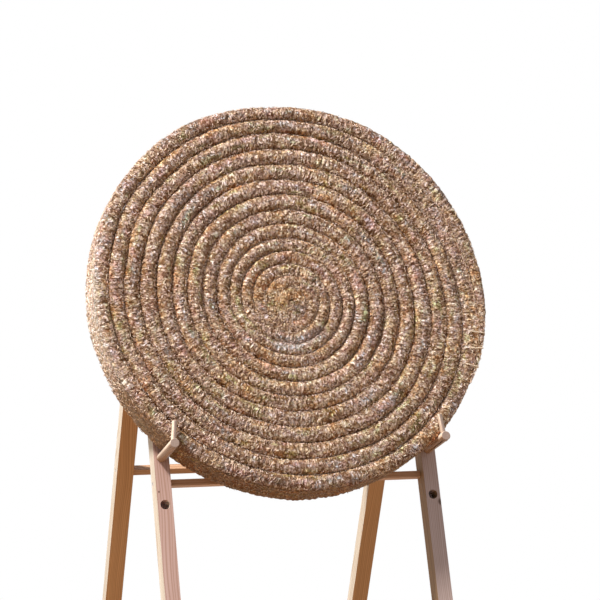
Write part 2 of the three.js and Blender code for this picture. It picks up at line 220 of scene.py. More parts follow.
def noise(tree, vector, scale, detail=2.0, rough=0.5, output="Fac"):
    inputs = {"Vector": vector, "Scale": scale, "Detail": detail, "Roughness": rough}
    return addNode(tree, "ShaderNodeTexNoise", inputs).outputs[output]


def cells(tree, vector, along, across):
    inputs = {"Vector": scaled(tree, vector, along, across, 1), "Scale": 1.0}
    return addNode(tree, "ShaderNodeTexVoronoi", inputs).outputs


# Object coordinates turned back by the lean of a frame, from a place on it
def leanedPlace(tree, coordinates, place, lean):
    inputs = {"Vector": coordinates["Object"], "Location": tuple(place), "Rotation": (lean, 0, 0)}
    return addNode(tree, "ShaderNodeMapping", inputs, vector_type="TEXTURE").outputs["Vector"]


def leanedNormal(tree, coordinates, lean):
    inputs = {"Vector": coordinates["Normal"], "Angle": lean}
    return addNode(tree, "ShaderNodeVectorRotate", inputs, rotation_type="X_AXIS").outputs[0]


def vectorParts(tree, vector):
    return addNode(tree, "ShaderNodeSeparateXYZ", {0: vector}).outputs


# Colour, roughness, specular level and bump of a material, with the values of its dictionary
def finish(tree, shader, colour, height, looks):
    tree.links.new(colour, shader.inputs["Base Color"])
    shader.inputs["Roughness"].default_value = looks["roughness"]
    shader.inputs["Specular IOR Level"].default_value = looks.get("specular", 0.5)
    inputs = {"Height": height, "Distance": looks["bumpHeight"], "Strength": looks.get("bumpStrength", 1.0)}
    tree.links.new(addNode(tree, "ShaderNodeBump", inputs).outputs["Normal"], shader.inputs["Normal"])


# Whether a ray comes straight from the camera or from a gloss
def seenRays(tree):
    rays = addNode(tree, "ShaderNodeLightPath").outputs
    return math2(tree, "MAXIMUM", rays["Is Camera Ray"], rays["Is Glossy Ray"])


# Straw: many short bits and longer stalks across the rope, dark brown to cream, with slow drifts of tone and
# hue along it. It is more orange down in the grooves, and darker there, a painted shade and partly dirt.
# Fresh straw is paler, and so is the sunlit left of the rim, a painted light.
straw = dict(
    bitAlong=1 / 0.0060, bitAcross=1 / 0.0047, stalkAlong=1 / 0.0034, stalkAcross=1 / 0.0085,
    warpScale=170.0, warp=0.006, patchScale=120.0, patchFrom=0.49, fineAlong=800, fineAcross=600,
    driftAlong=22.0, driftAcross=38.0, wrapAlong=120.0, wrapAcross=12.0,
    edgeWeight=0.75, fineWeight=0.9, driftWeight=0.5, wrapWeight=0.6, toneFrom=0.29,
    hueWeight=0.45, hueFrom=0.35, hueDrift=3.0, hueGroove=0.5, freshShare=0.46,
    tones=[(0.0, (0.168, 0.086, 0.038)), (0.2, (0.345, 0.205, 0.112)), (0.42, (0.485, 0.325, 0.202)),
           (0.62, (0.63, 0.462, 0.322)), (0.82, (0.80, 0.65, 0.472)), (1.0, (0.95, 0.84, 0.67))],
    orange=(1.10, 0.88, 0.66), rust=(1.18, 0.72, 0.46), mauve=(0.98, 0.93, 1.14), slate=(0.76, 0.88, 1.18),
    olive=(0.86, 1.06, 0.74), pink=(1.09, 0.925, 0.98), freshAndSunlit=(1.22, 1.46, 1.68), cream=(0.86, 0.82, 0.73),
    grooves=[(0.66, (1, 1, 1)), (0.87, (0.88, 0.79, 0.68)), (1.0, (0.66, 0.53, 0.39))],
    roughness=0.85, specular=0.2, edgeDepth=0.6, bumpHeight=0.0028,
)


def strawMaterial():
    material, tree, shader = newMaterial("straw rope")
    way = attribute(tree, "ropeWay", "Vector")
    grooveShadeAndHue = attribute(tree, "grooveShadeAndHue")
    warp = noise(tree, way, straw["warpScale"], 1.0, output="Color")
    shift = addNode(tree, "ShaderNodeVectorMath", {0: warp, "Scale": straw["warp"]}, operation="SCALE")
    bent = vectorMath(tree, "ADD", way, shift.outputs[0])
    bits = cells(tree, bent, straw["bitAlong"], straw["bitAcross"])
    wraps = cells(tree, bent, straw["stalkAlong"], straw["stalkAcross"])
    bitRandom = colourParts(tree, bits["Color"])
    wrapRandom = colourParts(tree, wraps["Color"])
    choose = math2(tree, "GREATER_THAN", noise(tree, way, straw["patchScale"], 1.0), straw["patchFrom"])
    value = mixValue(tree, choose, bitRandom[0], wrapRandom[0])
    hue = mixValue(tree, choose, bitRandom[1], wrapRandom[1])
    edge = mixValue(tree, choose, bits["Distance"], wraps["Distance"])
    # tone of each bit, darker at its edges: painted shade in the gaps between bits
    fine = noise(tree, scaled(tree, way, straw["fineAlong"], straw["fineAcross"], 1), 1.0, 3.0, 0.65)
    driftWay = scaled(tree, way, straw["driftAlong"], straw["driftAcross"], 3)
    drifts = colourParts(tree, noise(tree, driftWay, 1.0, 3.0, 0.65, "Color"))
    wrap = noise(tree, scaled(tree, way, straw["wrapAlong"], straw["wrapAcross"], 5), 1.0, 1.0)
    value = math2(tree, "SUBTRACT", value, math2(tree, "MULTIPLY", edge, straw["edgeWeight"]))
    value = addSwing(tree, value, fine, straw["fineWeight"])
    value = addSwing(tree, value, drifts[2], straw["driftWeight"])
    value = addSwing(tree, value, wrap, straw["wrapWeight"])
    value = math2(tree, "ADD", value, attribute(tree, "tone"))
    value = math2(tree, "ADD", value, straw["toneFrom"], clamp=True)
    colour = ramp(tree, value, straw["tones"])
    # hue from slate to rust, then casts of pink and olive
    warm = math2(tree, "ADD", math2(tree, "MULTIPLY", hue, straw["hueWeight"]), straw["hueFrom"])
    warm = addSwing(tree, warm, drifts[0], straw["hueDrift"])
    warm = addSwing(tree, warm, grooveShadeAndHue, straw["hueGroove"], 0.35)
    warm = math2(tree, "ADD", warm, attribute(tree, "rust"))
    tint = ramp(tree, math2(tree, "MULTIPLY", warm, 0.5),
                [(0.0, straw["slate"]), (0.16, straw["mauve"]), (0.38, (1, 1, 1)), (0.6, straw["orange"]),
                 (0.95, straw["rust"])])
    colour = tinted(tree, colour, tint)
    cast = ramp(tree, drifts[1],
                [(0.32, straw["pink"]), (0.46, (1, 1, 1)), (0.55, (1, 1, 1)), (0.70, straw["olive"])])
    colour = tinted(tree, colour, cast)
    # paler where the straw is fresh, and painted light on the sunlit left of the rim
    freshAndSunlit = mixColour(tree, straw["freshShare"], tinted(tree, colour, straw["freshAndSunlit"]), straw["cream"])
    colour = mixColour(tree, attribute(tree, "pale"), colour, freshAndSunlit)
    # painted shade, and partly dirt: darker down in the grooves
    colour = tinted(tree, colour, ramp(tree, grooveShadeAndHue, straw["grooves"]))
    height = math2(tree, "SUBTRACT", value, math2(tree, "MULTIPLY", edge, straw["edgeDepth"]))
    finish(tree, shader, colour, height, straw)
    return material


# Loose stalks: each has its own tone, with streaks, and most are paler than the rope
stalkLooks = dict(
    tones=[(0.0, (0.20, 0.125, 0.065)), (0.25, (0.40, 0.27, 0.17)), (0.5, (0.58, 0.42, 0.28)),
           (0.75, (0.80, 0.62, 0.43)), (1.0, (0.97, 0.86, 0.68))],
    streakScale=420.0, streakWeight=0.5, roughness=0.6, bumpHeight=0.0004,
)


def stalkMaterial():
    material, tree, shader = newMaterial("straw stalks")
    streak = noise(tree, objectPlace(tree), stalkLooks["streakScale"], 2.0)
    value = addSwing(tree, attribute(tree, "stalkTone"), streak, stalkLooks["streakWeight"], clamp=True)
    tint = ramp(tree, math2(tree, "MULTIPLY", attribute(tree, "rust"), 0.5),
                [(0.2, straw["mauve"]), (0.4, (1, 1, 1)), (0.85, straw["orange"]), (1.0, straw["rust"])])
    colour = tinted(tree, ramp(tree, value, stalkLooks["tones"]), tint)
    finish(tree, shader, colour, streak, stalkLooks)
    return material


# The coil, wound as in the solid: circles that step in over the tail's sector, then an even spiral. Here its
# innermost turns are thinner, and the top of the rim is lower.
coil = dict(
    radius=0.400, thickness=0.092, spacing=0.030, gap=0.0008, crown=0.009, fullWidthAngle=30.0,
    tailTurns=1 / 6, tipTurns=0.02, tipWidth=0.12, jogShare=0.22, evenTurn=7.0, thinInside=0.132,
    thinShare=0.82, eyeTurn=12.0, eyeRight=-0.015, eyeUp=-0.022, eyeRadius=0.0004, endWidth=0.008,
    mostTurns=14.5, tableStep=1 / 720, step=0.0018,
    # wander of the turns, with the cell, share and seed of each noise, and how the top of the rim has settled
    wander=0.0024, wanderNoises=[(0.085, 1.0, 3), (0.085 / 2.7, 0.4, 5)], rimWander=0.35, wanderRise=0.12,
    slump=0.008, slumpRight=-0.04, slumpWide=0.17, slumpFrom=0.34, slumpHigh=0.06,
    # the bow between two grooves, and the grooves' depth, which is less at the eye and by the tail
    crownPower=0.5, rimPower=0.75, inset=0.90, insetNoise=0.07, insetCell=0.007,
    depth=0.82, depthNoise=0.34, depthCell=0.06, depthLeast=0.3, eyeCalm=0.085, eyeSlope=1.25, eyeDepth=0.12,
    tailMiddle=-0.06, tailWide=0.11, tailReach=1.3, tailCalm=0.9,
)


# Spacings that the rope's outer edge has stepped in by at a turn: one for each whole turn, by smoothstep over
# the last part of it, which gives way to an even spiral
def spacingsIn(turn):
    whole = np.floor(turn)
    rise = np.clip((turn - whole - 1 + coil["jogShare"]) / coil["jogShare"], 0, 1)
    stepped = whole + rise * rise * (3 - 2 * rise)
    evenness = np.clip((turn - 1) / (coil["evenTurn"] - 1), 0, 1)
    return np.where(turn <= 0, 0, stepped + (turn - stepped) * evenness)


# Radius of the line between two turns: the boss's radius less the spacings, which are less near the eye
def boundaryRadius(turn):
    radius = coil["radius"] - coil["spacing"] * spacingsIn(turn)
    thinned = coil["thinInside"] + coil["thinShare"] * (radius - coil["thinInside"])
    return np.where(radius < coil["thinInside"], thinned, radius)


# Outer and inner radius of the rope at a turn, and its width as a share of the full one. The tail widens from
# its tip by a half parabola.
def ropeEdges(turn):
    outer = boundaryRadius(turn) - coil["gap"] / 2
    inner = np.maximum(boundaryRadius(turn + 1) + coil["gap"] / 2, coil["eyeRadius"])
    tip = np.clip((turn + coil["tailTurns"]) / coil["tipTurns"], 0, 1)
    width = coil["tipWidth"] + (1 - coil["tipWidth"]) * tip * (2 - tip)
    outer = np.where(turn < 0, inner + (outer - inner) * width, outer)
    share = np.minimum((outer - inner) / (coil["spacing"] - coil["gap"]), 1)
    return outer, inner, share


# Place on the face: a circle, whose middle moves from the boss's at the rim to the eye, plus noise, less on
# the rim. A bell curve lowers the top of the rim, which has settled under its own weight.
def coilPlace(radius, turn):
    angle = math.radians(coil["fullWidthAngle"]) + turn * 2 * np.pi
    drift = 1 - radius / coil["radius"]
    u = coil["eyeRight"] * drift + radius * np.cos(angle)
    v = coil["eyeUp"] * drift + radius * np.sin(angle)
    flat = np.stack([u, v, np.zeros_like(u)], -1)
    inward = np.clip(drift / coil["wanderRise"], 0, 1)
    reach = coil["wander"] * (coil["rimWander"] + (1 - coil["rimWander"]) * inward)
    for cell, share, seed in coil["wanderNoises"]:
        u = u + share * reach * latticeNoise(flat, cell, seed)
        v = v + share * reach * latticeNoise(flat, cell, seed + 1)
    settled = np.exp(-((u - coil["slumpRight"]) / coil["slumpWide"]) ** 2)
    v = v - coil["slump"] * settled * np.clip((v - coil["slumpFrom"]) / coil["slumpHigh"], 0, 1)
    return u, v, np.cos(angle), np.sin(angle)


# Spots on the face: right, up, size and strength. These make the grooves shallower or deeper.
depthSpots = [(0.31, 0.21, 0.08, 0.5), (0.20, 0.30, 0.07, 0.35), (0.08, 0.20, 0.07, -0.3),
              (0.21, 0.15, 0.06, 0.3), (0.06, -0.25, 0.09, -0.42), (0.06, -0.15, 0.05, -0.2),
              (0.30, -0.12, 0.06, -0.3), (0.27, 0.15, 0.05, 0.30), (-0.15, 0.0, 0.05, 0.25),
              (0.04, -0.05, 0.03, 0.25), (0.10, -0.09, 0.03, 0.2), (-0.34, 0.0, 0.05, -0.15)]
# Where the grooves are wider
openSpots = [(-0.145, 0.035, 0.05, -0.13), (-0.085, 0.095, 0.05, -0.13), (0.11, 0.02, 0.04, -0.10),
             (0.29, 0.15, 0.06, -0.10), (0.19, -0.20, 0.05, -0.09), (0.27, 0.26, 0.07, -0.12),
             (0.21, 0.15, 0.05, -0.08)]
# Where the grooves are darker, a painted shade: there they run along the light
creaseShadeSpots = [(-0.25, -0.25, 0.09, 0.5), (0.28, 0.25, 0.09, 0.65), (0.30, 0.14, 0.05, 0.4),
             (0.21, 0.15, 0.06, 0.55)]


# Sum of the spots at a place, each a bell curve of the distance from its middle
def spotShare(u, v, spots):
    return sum(strength * np.exp(-((u - right) ** 2 + (v - up) ** 2) / size ** 2)
               for right, up, size, strength in spots)


# Bell curves of the turn about the middle of the tail, and about the rope beside it, one turn further in
def tailBells(turn):
    middles = (coil["tailMiddle"], coil["tailMiddle"] + 1)
    return [np.exp(-(((turn - middle) / coil["tailWide"]) ** 2)) for middle in middles]


# A point on the crown, front (face 1) or back (-1), from the outer flank (bend 0) to the inner one (pi). Its
# height is a power of one less the square of its share of the way to the edge. The normal is an ellipse's.
def crownPoint(turn, bend, face):
    outer, inner, share = ropeEdges(turn)
    half = (outer - inner) / 2
    crown = coil["crown"] * share
    radius = (outer + inner) / 2 + half * np.cos(bend)
    u, v, cosine, sine = coilPlace(radius, turn)
    middle = coil["thickness"] / 2
    flat = np.stack([u, v, 0 * u], -1)
    depth = coil["depth"] + coil["depthNoise"] * latticeNoise(flat, coil["depthCell"], 8)
    depth = np.clip(depth + spotShare(u, v, depthSpots), coil["depthLeast"], 1)
    depth = depth * np.clip(coil["eyeSlope"] * (radius / coil["eyeCalm"] - 1) + 1, coil["eyeDepth"], 1)
    onTail, besideTail = tailBells(turn)
    facing = onTail * (bend > np.pi / 2) + besideTail * (bend < np.pi / 2)
    depth = depth * (1 - coil["tailCalm"] * np.clip(coil["tailReach"] * facing, 0, 1))
    inset = coil["inset"] + coil["insetNoise"] * latticeNoise(flat, coil["insetCell"], 17)
    inset = inset + spotShare(u, v, openSpots)
    onRim = (turn < 1) & (bend < np.pi / 2)
    power = np.where(onRim, coil["rimPower"], coil["crownPower"])
    bow = np.clip(1 - (np.cos(bend) / np.where(onRim, 1, inset)) ** 2, 0, 1) ** power
    w = middle + face * (middle - crown + crown * (1 - depth + depth * bow))
    across = np.cos(bend) / half
    out = np.sin(bend) / np.maximum(crown, 1e-4)
    length = np.hypot(across, out)
    across, out = across / length, face * out / length
    normal = alongAxes(across * cosine, across * sine, out)
    return bossMiddle + alongAxes(u, v, w), normal


# A point on the outer (side 1) or inner (side -1) flank, at a share of its height from front to back
def flankPoint(turn, share, side):
    turn = turn + 0 * share
    outer, inner, crownShare = ropeEdges(turn)
    crown = coil["crown"] * crownShare
    u, v, cosine, sine = coilPlace(outer if side > 0 else inner, turn)
    w = coil["thickness"] - crown - share * (coil["thickness"] - 2 * crown)
    normal = alongAxes(side * cosine, side * sine, 0 * sine)
    return bossMiddle + alongAxes(u, v, w), normal


# Turn against length along the rope, from the tail to the eye
turnTable = np.arange(-coil["tailTurns"], coil["mostTurns"], coil["tableStep"])
roomLeft = boundaryRadius(turnTable) - coil["gap"] / 2 - coil["eyeRadius"]
turnTable = turnTable[roomLeft > coil["endWidth"]]
tableOuter, tableInner, _ = ropeEdges(turnTable)
tableU, tableV, _, _ = coilPlace((tableOuter + tableInner) / 2, turnTable)
ropeLength = np.concatenate([[0], np.cumsum(np.hypot(np.diff(tableU), np.diff(tableV)))])
print("straw rope:", round(float(ropeLength[-1]), 2), "m")


# The wrapped straw: ridges across the rope, slow swells, lumps and grain, and crumbs at the eye
wrapped = dict(
    slant=0.3, bend=0.5, bendCell=0.03, power=0.7, middle=0.55, heightMean=0.75, heightVary=0.6,
    heightCell=0.04, swell=0.0016, swellCell=0.07, lump=0.0009, lumpCell=0.016,
    grain=0.0011, grainCell=0.0052, crumble=0.0013, crumbleCell=0.0055, crumbleReach=0.045,
)


# Height of the wrapped straw: a power of the sine of the length in pitches, plus noises, and only noise about
# the eye. With it comes the sine's square, which is 1 on a ridge and 0 between two.
def relief(points, along, around, pitch, ridge):
    wave = along / pitch + wrapped["slant"] * around
    sine = np.abs(np.sin(np.pi * (wave + wrapped["bend"] * latticeNoise(points, wrapped["bendCell"], 11))))
    u, v = planePlace(points)
    fromEye = np.hypot(u - coil["eyeRight"], v - coil["eyeUp"])
    crumble = np.exp(-(fromEye / wrapped["crumbleReach"]) ** 2)
    height = ridge * (sine ** wrapped["power"] - wrapped["middle"]) * (1 - crumble)
    vary = wrapped["heightVary"] * latticeNoise(points, wrapped["heightCell"], 12)
    height = height * (wrapped["heightMean"] + vary)
    height = height + wrapped["lump"] * latticeNoise(points, wrapped["lumpCell"], 13)
    height = height + wrapped["grain"] * latticeNoise(points, wrapped["grainCell"], 14)
    height = height + crumble * wrapped["crumble"] * latticeNoise(points, wrapped["crumbleCell"], 16)
    return height, sine ** 2


# Where the straw is rust coloured, or slate grey where the strength is below 0
rustSpots = [(-0.022, -0.022, 0.045, 0.55), (-0.055, 0.02, 0.03, 0.25), (0.260, -0.315, 0.028, 1.1),
             (0.10, 0.16, 0.04, 0.15), (-0.09, -0.16, 0.05, 0.35), (-0.045, -0.114, 0.012, -1.1),
             (-0.024, -0.112, 0.012, -1.1), (-0.003, -0.109, 0.012, -1.1), (0.020, -0.103, 0.012, -0.9),
             (0.042, -0.090, 0.012, -0.9), (0.005, -0.039, 0.011, -1.4), (0.12, -0.05, 0.03, -0.35),
             (-0.16, 0.17, 0.04, -0.3), (0.385, 0.02, 0.03, 0.4), (0.385, -0.05, 0.03, 0.35),
             (0.375, -0.12, 0.03, 0.35)]
# Where it is fresh and pale
paleSpots = [(-0.040, -0.111, 0.010, 0.6), (-0.022, -0.110, 0.010, 0.7), (-0.004, -0.108, 0.010, 0.5),
             (0.030, -0.097, 0.012, 0.25), (0.10, -0.10, 0.012, 0.25)]
# Where its tone is lighter, or darker where the strength is below 0: on the face, then along the rim
toneSpots = [(-0.030, -0.022, 0.034, -0.13), (0.07, -0.15, 0.09, 0.13), (0.17, -0.24, 0.06, 0.07),
             (0.30, -0.02, 0.07, 0.09), (0.22, 0.16, 0.08, -0.09), (-0.28, 0.0, 0.05, -0.12),
             (-0.10, 0.24, 0.05, 0.08), (0.0085, -0.0436, 0.011, -0.2), (-0.022, -0.108, 0.018, 0.22),
             (-0.06, 0.405, 0.05, -0.25), (-0.17, 0.372, 0.045, -0.22), (0.08, 0.405, 0.05, -0.25),
             (0.20, 0.358, 0.045, -0.2), (0.385, -0.10, 0.05, 0.13), (0.28, -0.28, 0.035, 0.12),
             (-0.10, -0.385, 0.05, -0.15), (-0.375, -0.14, 0.05, 0.15)]


# The underside of the rim is darker, a painted shade, and more rust coloured
underShadeAndRust = dict(down=(-0.1, -0.995), start=3.4, over=0.06, noise=0.4, cell=0.03, rimFrom=0.378, rimOver=0.02,
            frontPower=8, dark=0.48, darkPower=1.2, rust=0.5, rustPower=0.7)


# How far a point is on the underside: a power of its reach down, past a start, with noise, on the rim alone.
# It fades to nothing at the front.
def undersideShare(points, power):
    u, v = planePlace(points)
    rim = np.clip((np.hypot(u, v) - underShadeAndRust["rimFrom"]) / underShadeAndRust["rimOver"], 0, 1)
    low = (underShadeAndRust["down"][0] * u + underShadeAndRust["down"][1] * v) / underShadeAndRust["over"] - underShadeAndRust["start"]
    low = np.clip(low + underShadeAndRust["noise"] * latticeNoise(points, underShadeAndRust["cell"], 19), 0, 1)
    forward = np.clip((points - bossMiddle) @ wAxis / coil["thickness"], 0, 1)
    return rim * low ** power * (1 - forward ** underShadeAndRust["frontPower"])


# What the underside's painted shade takes from the tone
def underShadeTone(points):
    return -underShadeAndRust["dark"] * undersideShare(points, underShadeAndRust["darkPower"])


# Painted light: the left of the rim, which faces the sun, is painted paler
sun = dict(toward=(-0.9816, -0.191), slope=5, start=4.1, noise=0.5, cell=0.05, most=0.85,
           rimFrom=0.93, rimOver=0.05)


# How much painted light a point gets: its reach towards the sun in radii, past a start, with noise, on the
# rim alone
def paintedSunShare(points):
    u, v = planePlace(points)
    rim = np.clip((np.hypot(u, v) / coil["radius"] - sun["rimFrom"]) / sun["rimOver"], 0, 1)
    sunward = (sun["toward"][0] * u + sun["toward"][1] * v) / coil["radius"]
    share = sun["slope"] * sunward - sun["start"] + sun["noise"] * latticeNoise(points, sun["cell"], 18)
    return rim * np.clip(share, 0, sun["most"])


# Whether a point is on the front half, where alone the coloured strands and patches are
def frontShare(points):
    return (points - bossMiddle) @ wAxis > coil["thickness"] / 2


# Rust colour at a point: the spots on the front half, and the underside
def rustShare(points):
    spots = frontShare(points) * spotShare(*planePlace(points), rustSpots)
    return spots + underShadeAndRust["rust"] * undersideShare(points, underShadeAndRust["rustPower"])


# How faint the grooves are by the tail and at the eye, where the rim's right gets painted shade, and how pale
# the painted highlights on the sunlit rim's ridges are, with lines of painted shade between them
ropeLooks = dict(grooveCalm=0.85, eyeReach=1.2, shadedFrom=3, shadedRight=0.6, paleLeast=0.45, palePower=8,
                 lineWidth=1.15, lineSlope=2.4, darkPower=4)


# A run's points over the front, over the back and on the outer flank, and its ridges' pitch and height
rimRun = (17, 13, 40, 0.0125, 0.0020)
innerRun = (17, 12, 2, 0.0092, 0.0015)


# One run of the rope as a closed tube. Rows stand at even steps along it, and each goes round the section:
# front crown, inner flank, back crown, outer flank. Relief moves the points along their normals, fully on the
# rim's flank, and elsewhere by the root of the bend's sine, which is 0 in the grooves.
def ropeRun(name, firstTurn, lastTurn, onRim=False, atEye=False):
    frontSteps, backSteps, flankSteps, pitch, ridge = rimRun if onRim else innerRun
    first, last = np.interp([firstTurn, lastTurn], turnTable, ropeLength)
    along = np.linspace(first, last, int((last - first) / coil["step"]) + 1)[:, None]
    turn = np.interp(along, ropeLength, turnTable)
    frontBend = np.linspace(0, np.pi, frontSteps)[None]
    backBend = np.linspace(np.pi, 0, backSteps)[None]
    inside = np.array([[0.25, 0.75]])
    outside = np.linspace(1, 0, flankSteps + 2)[None, 1:-1]
    stretches = [crownPoint(turn, frontBend, 1), flankPoint(turn, inside, -1),
                 crownPoint(turn, backBend, -1), flankPoint(turn, outside, 1)]
    points, normals = [np.concatenate(arrays, 1) for arrays in zip(*stretches)]
    bend = np.concatenate([frontBend, 0 * inside + np.pi, backBend, 0 * outside], 1)
    onFlank = onRim & (bend < np.pi / 2)
    around = np.cumsum(np.linalg.norm(np.diff(points, axis=1, prepend=points[:, :1]), axis=2), 1)
    along = along + 0 * around
    height, rib = relief(points, along, around / coil["spacing"], pitch, ridge)
    swellPlace = np.stack([along, 0 * around + 0.5, 0 * around], -1)
    height = height + wrapped["swell"] * latticeNoise(swellPlace, wrapped["swellCell"], 15)
    # grooves, darkened as painted shade, and the stretch of the rim with painted light on its sunlit left and
    # the one with painted shade on its right
    u, v = planePlace(points)
    nearEye = np.clip(ropeLooks["eyeReach"] - boundaryRadius(turn) / coil["eyeCalm"], 0, 1)
    calm = (1 - ropeLooks["grooveCalm"] * sum(tailBells(turn))) * (1 - ropeLooks["grooveCalm"] * nearEye)
    grooveShadeAndHue = np.where(onFlank, 0, np.abs(np.cos(bend))) * calm
    outward = onRim * np.clip(np.cos(bend), 0, 1)
    paintedSun = paintedSunShare(points) * outward
    ridgeHighlight = np.maximum(rib, outward ** ropeLooks["palePower"])
    pale = paintedSun * (ropeLooks["paleLeast"] + (1 - ropeLooks["paleLeast"]) * ridgeHighlight)
    pale = pale + frontShare(points) * spotShare(u, v, paleSpots)
    shaded = np.clip((ropeLooks["shadedFrom"] + 1) * outward - ropeLooks["shadedFrom"], 0, 1)
    shaded = shaded * np.clip(2 * u / coil["radius"] - ropeLooks["shadedRight"], 0, 1)
    ridgeShadeLines = paintedSun * np.clip(ropeLooks["lineWidth"] - ropeLooks["lineSlope"] * rib, 0, 1)
    grooveShadeAndHue = np.maximum(np.maximum(grooveShadeAndHue, shaded), ridgeShadeLines)
    points = points + normals * (np.where(onFlank, 1, np.sqrt(np.sin(bend))) * height)[..., None]
    # painted shade: darker on the rim's underside
    tone = spotShare(u, v, toneSpots) + underShadeTone(points)
    # painted shade: darker still in the grooves at these spots
    tone = tone - grooveShadeAndHue ** ropeLooks["darkPower"] * spotShare(u, v, creaseShadeSpots)
    way = np.stack([along, around, 0 * around + firstTurn], -1)
    if atEye:  # too tight for a pattern along the rope, so the pattern lies flat on the face
        way = (points - bossMiddle) @ np.stack([uAxis, vAxis, 0 * wAxis], 1)
    attributes = {"ropeWay": way.reshape(-1, 3), "grooveShadeAndHue": grooveShadeAndHue.ravel(), "pale": pale.ravel(),
                  "tone": tone.ravel(), "rust": rustShare(points).ravel()}
    return makePiece(name, points.reshape(-1, 3), tubeFaces(*points.shape[:2]), strawRope, True, attributes)


strawRope = strawMaterial()
ropeRuns = [
    ropeRun("rope_tail", turnTable[0], 0.35, onRim=True),
    ropeRun("rope_rim_turn", 0.35, 1.0, onRim=True),
    ropeRun("rope_outer_turns", 1.0, 3.1),
    ropeRun("rope_middle_turns", 3.1, 6.0),
    ropeRun("rope_inner_turns", 6.0, coil["eyeTurn"]),
    ropeRun("rope_eye", coil["eyeTurn"], turnTable[-1], atEye=True),
]
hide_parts("straw_rope")
for run in ropeRuns:
    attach(run, "boss")
print("rope runs made")


# Loose stalks on the rope: thin three-sided slivers that follow the surface, some with an end lifted. Bends
# are in half turns, and each cloud has a count and a seed.
stalks = dict(
    long=(0.003, 0.0075), wide=(0.0010, 0.0020), taper=(0.7, 1, 0.6), edgeWide=0.6, thick=0.0007,
    headingSpread=0.7, lift=0.0012, loose=0.0022, looseShare=0.2, rimFrom=0.05, rimShares=(0.02, 0.98),
    bends=(0.10, 0.90), bendLimits=(0.08, 0.92), outerEdge=0.07, innerEdge=0.58, edgePart=0.35,
    toneMiddle=0.5, toneSpread=0.27, paintedSunLift=0.4,
    clouds=[("front", 13500, 21), ("edges", 13500, 24), ("back", 8000, 22), ("rim", 10000, 23)],
)


# Vectors divided by their lengths
def unit(vectors):
    return vectors / np.maximum(np.linalg.norm(vectors, axis=-1, keepdims=True), 1e-9)


# A stalk is a line on the straw through its place at its heading, with a triangle at each of three stations.
# A loose one leaves the straw by a parabola.
def stalkCloud(kind, count, seed):
    random = np.random.default_rng(seed)
    stations = np.linspace(-0.5, 0.5, 3)[None]
    rimEnd = float(np.interp(1.0, turnTable, ropeLength))
    span = (stalks["rimFrom"], rimEnd) if kind == "rim" else (0, ropeLength[-1])
    along = random.uniform(*span, (count, 1))
    size = random.uniform(*stalks["long"], (count, 1))
    heading = random.normal(np.pi / 2, stalks["headingSpread"], (count, 1))
    along = np.clip(along + size * stations * np.cos(heading), 0, ropeLength[-1])
    across = size * stations * np.sin(heading)
    turn = np.interp(along, ropeLength, turnTable)
    if kind == "rim":
        share = random.uniform(*stalks["rimShares"], (count, 1)) + across / coil["thickness"]
        centre, normal = flankPoint(turn, np.clip(share, 0, 1), 1)
    else:
        bend = random.uniform(*stalks["bends"], (count, 1)) * np.pi
        if kind == "edges":
            edge = np.where(bend < np.pi / 2, stalks["outerEdge"], stalks["innerEdge"])
            bend = edge * np.pi + stalks["edgePart"] * bend
        least, most = stalks["bendLimits"]
        bend = np.clip(bend + across / (coil["spacing"] / 2), least * np.pi, most * np.pi)
        centre, normal = crownPoint(turn, bend, -1 if kind == "back" else 1)
    lifted = (random.random((count, 1)) < stalks["looseShare"]) * random.uniform(0.2, 1, (count, 1))
    rise = (stations + 0.5) ** 2 * lifted * stalks["loose"]
    rise = rise + stalks["lift"] * random.uniform(0, 1, (count, 1))
    centre = centre + normal * rise[..., None]
    side = unit(np.cross(unit(np.gradient(centre, axis=1)), normal))
    wide = random.uniform(*stalks["wide"], (count, 1)) * np.array([stalks["taper"]])
    side = side * (wide * (stalks["edgeWide"] if kind == "edges" else 1))[..., None] / 2
    points = np.stack([centre - side, centre + side, centre + normal * stalks["thick"]], 2).reshape(-1, 3)
    start = (np.arange(count) * 9)[:, None, None]
    faces = [(start + group).reshape(-1, group.shape[1]) for group in tubeFaces(3, 3)]
    tone = np.clip(random.normal(stalks["toneMiddle"], stalks["toneSpread"], count), 0, 1)
    # painted shade on the rim's underside, painted light on its sunlit left
    tone = np.repeat(tone, 9) + underShadeTone(points) + stalks["paintedSunLift"] * paintedSunShare(points)
    rust = rustShare(points) + np.repeat(random.random(count), 9)
    looks = {"stalkTone": tone, "rust": rust}
    return makePiece(f"loose_stalks_{kind}", points, faces, strawStalks, False, looks)


strawStalks = stalkMaterial()
for kind, count, seed in stalks["clouds"]:
    cloud = stalkCloud(kind, count, seed)
    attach(cloud, "boss")
print("loose stalks made")


